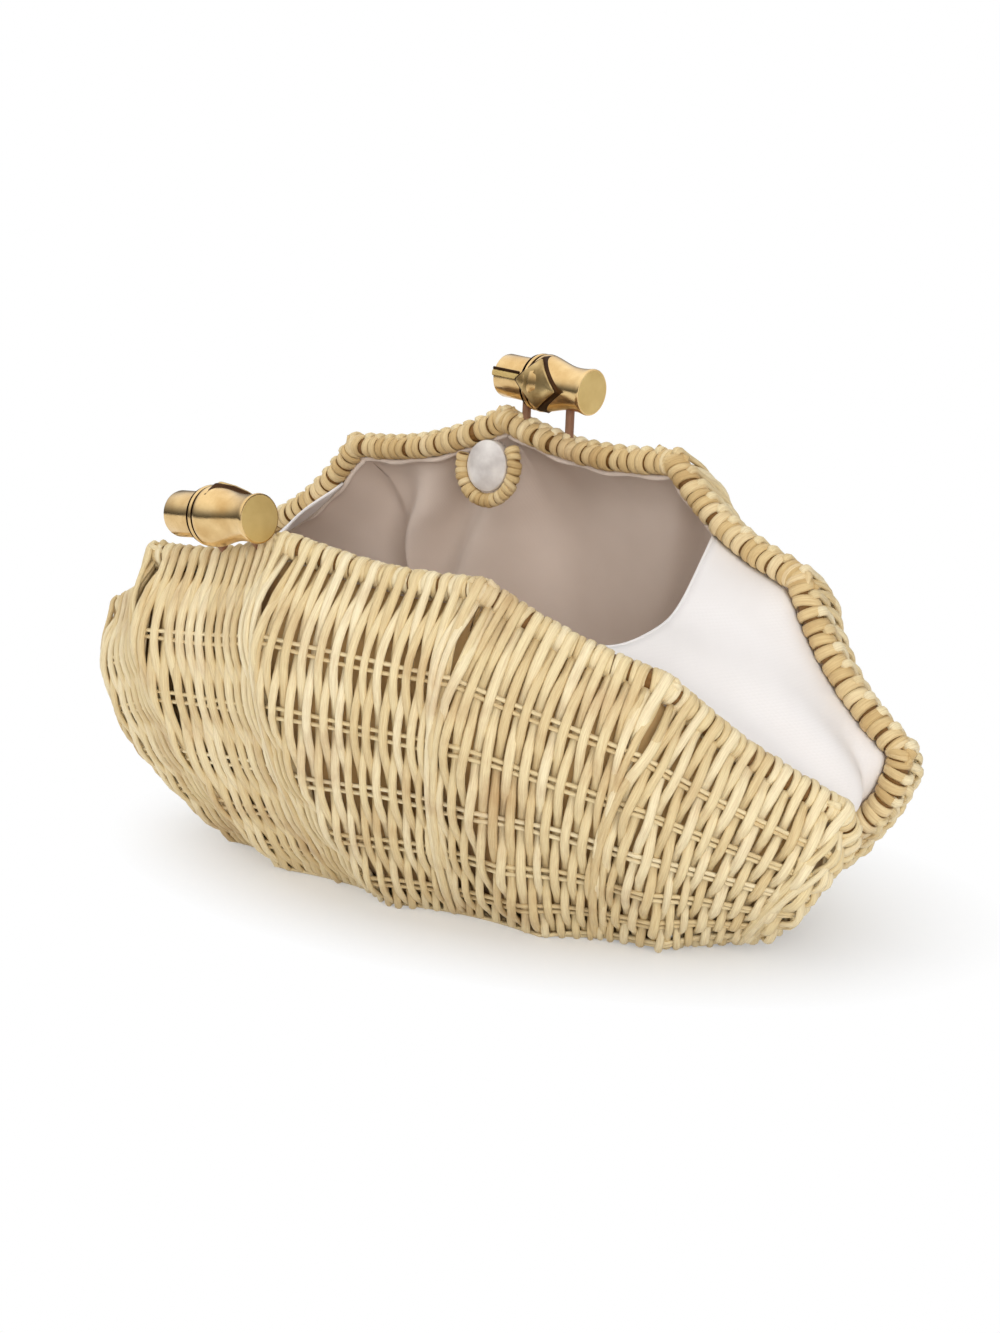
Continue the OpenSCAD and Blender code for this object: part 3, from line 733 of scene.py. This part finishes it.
# Toggles: a cast bamboo stem with a ringed node, a lozenge on its inner side and a flat cap
STEM = [
    (0.0, 0.02), (0.0, 0.60), (0.004, 0.68), (0.012, 0.735), (0.03, 0.756), (0.18, 0.75), (0.345, 0.762),
    (0.352, 0.82), (0.358, 0.90), (0.366, 0.935), (0.370, 0.935), (0.372, 0.885), (0.392, 0.885),
    (0.394, 0.95), (0.402, 0.98), (0.412, 0.985), (0.424, 0.97), (0.428, 0.95), (0.430, 0.90),
    (0.450, 0.90), (0.452, 0.965), (0.462, 0.99), (0.48, 1.0), (0.51, 0.985), (0.55, 0.95), (0.60, 0.895),
    (0.66, 0.83), (0.72, 0.775), (0.77, 0.745), (0.82, 0.735), (0.87, 0.74), (0.92, 0.755), (0.96, 0.78),
    (0.982, 0.795), (0.993, 0.79), (0.999, 0.775), (1.0, 0.74), (1.0, 0.02),
]
GROOVES = ((0.365, 0.395), (0.427, 0.453))
PLAIN, RECESS, FACE, AGED = range(4)
SHARP_FROM = math.radians(32)

# The lozenge: its place along the stem, its reach along and across it, and its rings from foot to middle
SHIELD_X, SHIELD_REACH, SHIELD_RISE = 1.6, TOGGLE_L * 0.25, TOGGLE_R * 0.92
SHIELD_RINGS = ((0.0, 1.0), (0.95, 0.93), (0.985, 0.91), (1.0, 0.87), (0.98, 0.5), (0.96, 0.05))

# Two stripes along the stem's inner side: where they end, and each one's height, width, depth and look
STRIPE_END, STRIPE_SINK, STRIPE_POINTS = -6.5, 0.15, 8
STRIPES = ((1.9, 0.45, 0.3, RECESS), (0.6, 0.95, 0.5, FACE))


def toggle(side):
    u = TOGGLE_X[side] / CORNER_X[1]
    middle = rim_frame(np.array([u]))[0][0]
    cos, sin = math.cos(TOGGLE_ANGLE[side]), math.sin(TOGGLE_ANGLE[side])
    axes = np.array([[cos, sin, 0], [-sin, cos, 0], [0, 0, 1]])
    origin = place(middle + [0, TOGGLE_RISE, 0], side)
    along, up, out = (turn(v, side) for v in axes)
    mesh = Gather()
    lathe(mesh, origin, along, up, out, [((at - 0.5) * TOGGLE_L, r * TOGGLE_R) for at, r in STEM])
    in_groove = [any(lo < at < hi for lo, hi in GROOVES) for at, _ in STEM]
    for i in range(len(STEM) - 1):
        slot = RECESS if in_groove[i] and in_groove[i + 1] else PLAIN
        if STEM[i][0] >= 1:
            slot = FACE
        mesh.slots[i * LATHE_SIDES:(i + 1) * LATHE_SIDES] = [slot] * LATHE_SIDES
    mesh.slots[-1] = FACE
    shield = origin + along * SHIELD_X
    lozenge(mesh, shield, along, up, -out, 1.0, TOGGLE_R * 1.06, AGED)
    lozenge(mesh, shield, along, up, -out, 1.1, TOGGLE_R * 1.01, RECESS)
    run = np.linspace(0.02 - TOGGLE_L / 2, STRIPE_END, STRIPE_POINTS)[:, None]
    line = origin + along * run - out * (TOGGLE_R * 0.75 - STRIPE_SINK)
    for rise, wide, thick, slot in STRIPES:
        mesh.cane(line + up * rise, -out, wide, thick, slot=slot)
    looks = [BRASS, DARK, CAP, PATINA]
    piece = mesh.piece(NAME[side] + "_bamboo_toggle", BODY[side], looks, "antique_brass")
    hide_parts(NAME[side] + "_toggle")
    piece.data.set_sharp_from_angle(angle=SHARP_FROM)


def lozenge(mesh, origin, along, up, inward, size, high, slot):
    """A raised leaf-like plate that narrows toward its face, hollowed a little in its middle."""
    reach, rise = SHIELD_REACH * size, SHIELD_RISE * size
    corners = [along * reach - up * 0.2 * rise, up * rise - along * 0.1 * reach]
    corners += [-along * reach, -up * rise]
    outline = [mix(corners[i], corners[(i + 1) % 4], f) for i in range(4) for f in (0.03, 0.35, 0.65, 0.97)]
    rings = []
    for at, share in SHIELD_RINGS:
        ring = []
        for corner in outline:
            point = corner * share
            fall = math.sqrt(max(0.0, high ** 2 - (point @ up) ** 2))
            ring.append(origin + inward * mix(fall, high * 0.8, 0.35) * at + point)
        rings.append(ring)
    mesh.rings(np.array(rings)[None], np.zeros((1, len(SHIELD_RINGS))), slot=slot)


# Lining: cotton inside each wall, hemmed under the rim and drawn over the rails
LINING_GAP, LINING_T, LINING_FLOOR, LINING_POINTS = 2.45, 0.6, 3.6, (320, 46)
LINING_END, LINING_TOP, LINING_LOW, LINING_SOFT = 3.42, 0.4, 2.2, 50
HEM_R, HEM_OUT, RIPPLE = 0.9, 1.6, 0.35
OVER_RAILS = ((1.6, RAIL_D + 4.6), (4.2, RAIL_D + 1.6), (4.4, RAIL_D - 2.0), (4.1, 1.6), (3.9, 0.5))

# Each fold: its place at the rim and at half height, its height, its reach to left and right, and its end
FOLDS = {
    FRONT: (
        (-2.2, -2.1, 2.0, 0.15, 0.15, 0.8), (-1.1, -1.0, 3.0, 0.14, 0.14, 0.8),
        (-0.3, -0.4, 2.5, 0.15, 0.15, 0.8), (0.6, 0.5, 3.0, 0.16, 0.16, 0.8),
        (1.4, 1.3, 3.0, 0.12, 0.12, 0.8), (2.3, 2.2, 2.0, 0.15, 0.15, 0.8),
    ),
    BACK: (
        (-2.3, -2.2, 2.5, 0.15, 0.15, 0.8), (-0.98, -1.06, 3.0, 0.07, 0.16, 0.16),
        (-0.45, -1.4, 12.0, 0.12, 0.23, 0.6), (0.0, -0.95, 12.0, 0.13, 0.34, 0.6),
        (0.02, 0.1, 2.0, 0.08, 0.08, 0.06), (1.0, 0.5, 4.0, 0.22, 0.12, 0.4),
        (1.9, 1.9, 2.5, 0.15, 0.15, 0.8),
    ),
}


def lining_surface(side, deeper):
    """Points of the lining's outer face, or of a face so much deeper, and its places along the rim."""
    us = np.linspace(-LINING_END, LINING_END, LINING_POINTS[0])
    u, f = np.meshgrid(us, np.linspace(0, 1, LINING_POINTS[1]), indexing="ij")
    s = mix(rim_share(u, LINING_TOP), rail_share(u, LINING_LOW), f)
    fold = 0 * u
    for top, low, high, left, right, last in FOLDS[side]:
        apart = u - mix(top, low, f / 0.5)
        reach = np.where(apart < 0, left, right) * (0.75 + 0.7 * f)
        fold = fold + high * np.exp(-(apart / reach) ** 2) * (1 - smooth((f - last) / 0.2))
    fold = fold * smooth(f / 0.18) * smooth((1 - f) / 0.2)
    ripple = RIPPLE * np.sin(23 * u + 2 * f) * (1 - smooth(f / 0.25))
    normal = shell_normal(u, s)
    wall = softened(shell_point(u, s) - normal * (LINING_GAP + deeper), LINING_SOFT)
    points = wall - unit(softened(normal, LINING_SOFT)) * fold[..., None]
    middle, _, up, out = rim_frame(u)
    hem = middle - up * (RIM_SEEN_R + deeper + ripple[..., None]) + out * HEM_OUT
    return mix(hem, points, smooth(f / 0.16)[..., None]), us


def over_rails(points, deeper):
    """Rows that carry the lining's bottom edge up over the rail to the hinge rod."""
    rows = [points]
    for t, d in OVER_RAILS:
        row = points[:, -1:, :].copy()
        row[..., 1] = t + deeper
        row[..., 2] = d
        rows.append(row)
    return np.concatenate(rows, axis=1)


def lining(side):
    outer, us = lining_surface(side, 0.0)
    inner, _ = lining_surface(side, LINING_T)
    outer = above_floor(place(over_rails(outer, 0.0), side), LINING_FLOOR)
    inner = above_floor(place(over_rails(inner, LINING_T), side), LINING_FLOOR + LINING_T)
    mesh = Gather()
    # The outer face takes the brown backing, painted shade for the weave's gaps.
    mesh.sheet(inner, outer, slots=(0, 1), flip=side == BACK)
    mesh.cane(inner[:, 0], turn(rim_frame(us)[2], side), HEM_R, HEM_R)
    # The lining's inner faces take the darkened cotton, painted shade.
    piece = mesh.piece(NAME[side] + "_cotton_lining", BODY[side], [PAINTED_SHADE_LINING, PAINTED_SHADE_BACKING], "cotton_lining")
    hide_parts(NAME[side] + "_lining")


# Gussets: cotton between the rims at each end, with soft folds
GUSSET_U = {FRONT: 1.35, BACK: 1.45}
LEFT_BACK_U = 1.25
TAIL_U, TAIL = 4.2, 50.0
GUSSET_SAG, GUSSET_SKEW, GUSSET_T, GUSSET_HEM_R = 10.0, 0.8, 0.7, 0.5
SEAM_GAP, SEAM_SOFT, SEAM_SHARE = 0.8, 4, 0.2
GUSSET_POINTS = (48, 36)


def gusset_edge(f, side, way):
    """The seam under the rim, which runs on inward past the rim's end, over the end of the hinge."""
    first = LEFT_BACK_U if way < 0 and side == BACK else GUSSET_U[side]
    u = mix(first, TAIL_U, f)
    middle, along, up, _ = rim_frame(np.minimum(u, LOBES + 1))
    tail = TAIL * np.maximum(0, u - LOBES - 1)
    return place(middle - up * (RIM_SEEN_R + SEAM_GAP) + along * tail[:, None], side)


def gusset(name, way):
    f, v = (np.linspace(0, 1, n) for n in GUSSET_POINTS)
    ff, vv = np.meshgrid(f, v, indexing="ij")
    edges = [softened(gusset_edge(f, side, way), SEAM_SOFT) for side in (FRONT, BACK)]
    across = v[None, :, None]
    sewn = mix(edges[0][:, None, :], edges[1][:, None, :], across)
    soft = mix(softened(edges[0])[:, None, :], softened(edges[1])[:, None, :], across)
    points = mix(sewn, soft, smooth(across / SEAM_SHARE) * smooth((1 - across) / SEAM_SHARE))
    hang = GUSSET_SAG * np.sin(np.pi * vv ** GUSSET_SKEW) * (1 - ff)
    points = points + np.stack([hang, 0 * hang, -hang], axis=-1)
    normal = unit(np.cross(np.gradient(points, axis=0), np.gradient(points, axis=1)))
    hold = np.sin(np.pi * vv) * (1 - 0.6 * ff)
    crease = 1.3 * np.sin(9 * vv + 4 * ff) + 0.9 * np.sin(15 * vv - 6 * ff + 1.2)
    points = points + normal * (hold * crease)[..., None]
    mirror = np.array([way, 1, 1])
    mesh = Gather()
    top = (points + normal * GUSSET_T / 2) * mirror
    bottom = (points - normal * GUSSET_T / 2) * mirror
    mesh.sheet(top, bottom, flip=way < 0)
    mesh.cane(points[0] * mirror, normal[0] * mirror, GUSSET_HEM_R, GUSSET_HEM_R)
    piece = mesh.piece(name + "_cotton_gusset", None, [GUSSET], "cotton_gusset")
    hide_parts(name + "_gusset")
    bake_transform(piece)


for side in (FRONT, BACK):
    weave(side)
    rim(side)
    magnet(side)
    toggle(side)
    lining(side)
gusset("right", 1)
gusset("left", -1)

# CAD pieces that stay, with their own materials
CARRIED = {
    "front_rail": RAIL, "back_rail": RAIL, "hinge_rod": RAIL,
    "front_hinge_loops": RAIL, "back_hinge_loops": RAIL,
    "front_toggle_posts": POST, "back_toggle_posts": POST,
}
for node, material in CARRIED.items():
    data = bpy.data.objects[node].data
    data.materials.clear()
    data.materials.append(material)


# Floor, light and camera, in metres
WHITE = (1, 1, 1, 1)
FLOOR_HALF, FLOOR_TONE = 4.0, (0.92, 0.92, 0.92, 1)
SHADOW_SCALE, SHADOW_SHIFT = (1 / 0.105, 1 / 0.06, 1), (0, -0.5, 0)
SHADOW_EDGE, SHADOW_GLOW = (1.0, 1.55), 0.3
SKY_BAND = ((0.0, 0.03), (0.1, 0.12), (0.28, 0.42), (0.5, 1.0), (0.75, 1.25))
SKY_LEVEL = 0.4
LAMP_AIM = Vector((0, 0, 0.06))
SENSOR, LENS = 36, 51.75
CAMERA_AT = (0.37519, -0.40105, 0.18530)
CAMERA_RIGHT = Vector((0.75615, 0.65342, -0.03566))
CAMERA_UP = Vector((-0.11219, 0.18313, 0.97667))


def floor():
    """A pale floor that takes the object's shadow, and glows white to the camera away from it."""
    mesh = bpy.data.meshes.new("floor")
    r = FLOOR_HALF
    mesh.from_pydata([(-r, -r, 0), (r, -r, 0), (r, r, 0), (-r, r, 0)], [], [(0, 1, 2, 3)])
    piece = bpy.data.objects.new("floor", mesh)
    bpy.context.scene.collection.objects.link(piece)
    look = Look("pale_floor", Roughness=0.9, Base_Color=FLOOR_TONE)
    glow = look.node("Emission", {"Color": WHITE, "Strength": 1.0}).outputs["Emission"]
    coords = look.mapped(look.node("TexCoord").outputs["Object"], SHADOW_SCALE, SHADOW_SHIFT)
    far = look.node("VectorMath", {0: coords}, operation="LENGTH").outputs["Value"]
    path = look.node("LightPath").outputs
    seen = look.combine("MAXIMUM", path["Is Camera Ray"], path["Is Glossy Ray"])
    fac = look.combine("MULTIPLY", look.span(far, SHADOW_GLOW, 1.0, SHADOW_EDGE), seen)
    mixed = look.node("MixShader", {0: fac, 1: look.shader.outputs["BSDF"], 2: glow})
    look.link(mixed.outputs["Shader"], look.tree.nodes["Material Output"].inputs["Surface"])
    mesh.materials.append(look.material)


def world():
    """White to the camera, a soft ambient level to the object, and a darker low band that metal shows."""
    sky = bpy.data.worlds.new("studio")
    bpy.context.scene.world = sky
    sky.use_nodes = True
    nodes = Nodes(sky.node_tree)
    path = nodes.node("LightPath").outputs
    way = nodes.node("SeparateXYZ", {0: nodes.node("TexCoord").outputs["Generated"]}).outputs["Z"]
    band = nodes.ramp(way, [(at, (tone, tone, tone, 1)) for at, tone in SKY_BAND])
    shown = nodes.span(path["Is Glossy Ray"], SKY_LEVEL, band, (0, 1))
    level = nodes.span(path["Is Camera Ray"], shown, 1.0, (0, 1))
    back = nodes.tree.nodes["Background"]
    nodes.link(WHITE, back.inputs["Color"])
    nodes.link(level, back.inputs["Strength"])


def lamp(name, at, size, power):
    light = bpy.data.lights.new(name, "AREA")
    light.size = size
    light.energy = power
    piece = bpy.data.objects.new(name, light)
    piece.visible_glossy = False
    piece.location = at
    piece.rotation_euler = (LAMP_AIM - Vector(at)).to_track_quat("-Z", "Y").to_euler()
    bpy.context.scene.collection.objects.link(piece)


def camera():
    data = bpy.data.cameras.new("camera")
    data.sensor_fit = "VERTICAL"
    data.sensor_height = SENSOR
    data.lens = LENS
    piece = bpy.data.objects.new("camera", data)
    turned = Matrix((CAMERA_RIGHT, CAMERA_UP, CAMERA_RIGHT.cross(CAMERA_UP))).transposed().to_4x4()
    piece.matrix_world = Matrix.Translation(CAMERA_AT) @ turned
    bpy.context.scene.collection.objects.link(piece)
    bpy.context.scene.camera = piece


floor()
world()
lamp("key", (0.72, -0.55, 0.34), 0.5, 4.5)
lamp("fill", (-0.5, -0.7, 0.3), 0.8, 2.6)
lamp("top", (-0.25, 0.05, 1.0), 0.7, 2.6)
lamp("rear", (-0.35, 0.8, 0.45), 0.7, 2.8)
camera()
bpy.context.scene.view_settings.view_transform = "Standard"
